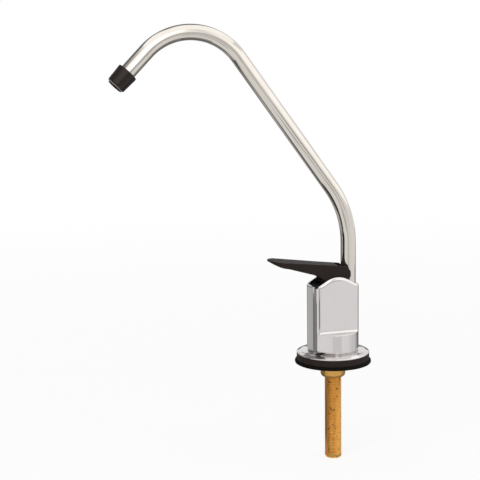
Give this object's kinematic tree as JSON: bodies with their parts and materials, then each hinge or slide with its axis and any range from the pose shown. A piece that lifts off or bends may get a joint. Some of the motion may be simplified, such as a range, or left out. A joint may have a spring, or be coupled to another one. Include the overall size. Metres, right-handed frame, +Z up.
{
  "type": "drinking water faucet",
  "caption": "Gooseneck drinking-water faucet with a swivelling bent-tube spout, a rocking cam lever, a round base with flat cheeks, and a hollow threaded mounting shank.",
  "frame": {"origin": "centre of the rubber washer's underside, where the faucet meets the counter", "axes": "+Z up; -Y is the front, the way the spout and the lever point at rest; +X to the right seen from the front"},
  "size_m": [0.0502, 0.169, 0.2861],
  "materials": {
    "chrome_plate": "polished and chrome plated",
    "chrome_tube": "polished and chrome plated tube",
    "black_abs": "moulded, slightly satin",
    "black_nylon": "moulded, matt",
    "black_acetal": "moulded, satin",
    "white_acetal": "moulded, satin",
    "rubber": "matt",
    "brass": "machined, bare",
    "stainless_steel": "drawn and bright"
  },
  "bodies": {
    "housing": {"faucet_body": "chrome_plate", "escutcheon": "chrome_plate", "base_spacer": "black_nylon", "counter_gasket": "rubber", "body_seal": "rubber", "threaded_shank": "brass", "shank_collar": "brass", "gland_nut": "brass", "gland_o_ring": "rubber", "stem_o_ring": "rubber", "saddle_plate": "black_acetal"},
    "spring": {"return_spring": "stainless_steel"},
    "stem": {"valve_stem": "brass", "seat_washer": "rubber", "seat_washer_screw": "stainless_steel"},
    "pin": {"lever_pin": "stainless_steel"},
    "lever": {"lever_handle": "black_abs"},
    "spout": {"spout_tube": "chrome_tube", "spout_ferrule": "brass", "spout_o_ring_lower": "rubber", "spout_o_ring_upper": "rubber", "spout_snap_ring": "stainless_steel", "nozzle": "black_abs", "nozzle_insert": "white_acetal", "nozzle_o_ring": "rubber"}
  },
  "joints": [
    {"name": "stem_rise_press", "type": "slide", "parent": "housing", "child": "spring", "axis": [0, 0, 1], "range_m": [0, 0.00113], "deforming": ["return_spring"]},
    {"name": "stem_rise_lift", "type": "slide", "parent": "spring", "child": "stem", "axis": [0, 0, 1], "range_m": [0, 0.00217], "deforming": ["return_spring"]},
    {"name": "lever_press", "type": "hinge", "parent": "stem", "child": "pin", "pos_m": [0, 0, 0.06], "axis": [1, 0, 0], "range_deg": [0, 12], "stiffness_Nm_per_rad": 0.005, "springref_deg": -22.92},
    {"name": "lever_lift", "type": "hinge", "parent": "pin", "child": "lever", "pos_m": [0, 0, 0.06], "axis": [-1, 0, 0], "range_deg": [0, 72]},
    {"name": "spout_swivel", "type": "hinge", "parent": "housing", "child": "spout", "pos_m": [0, 0.0109, 0.033], "axis": [0, 0, 1], "continuous": true}
  ],
  "couplings": [
    {"joint": "lever_press", "follows": "stem_rise_press", "rad_per_m": 185.19},
    {"joint": "lever_lift", "follows": "stem_rise_lift", "rad_per_m": 578.03}
  ]
}
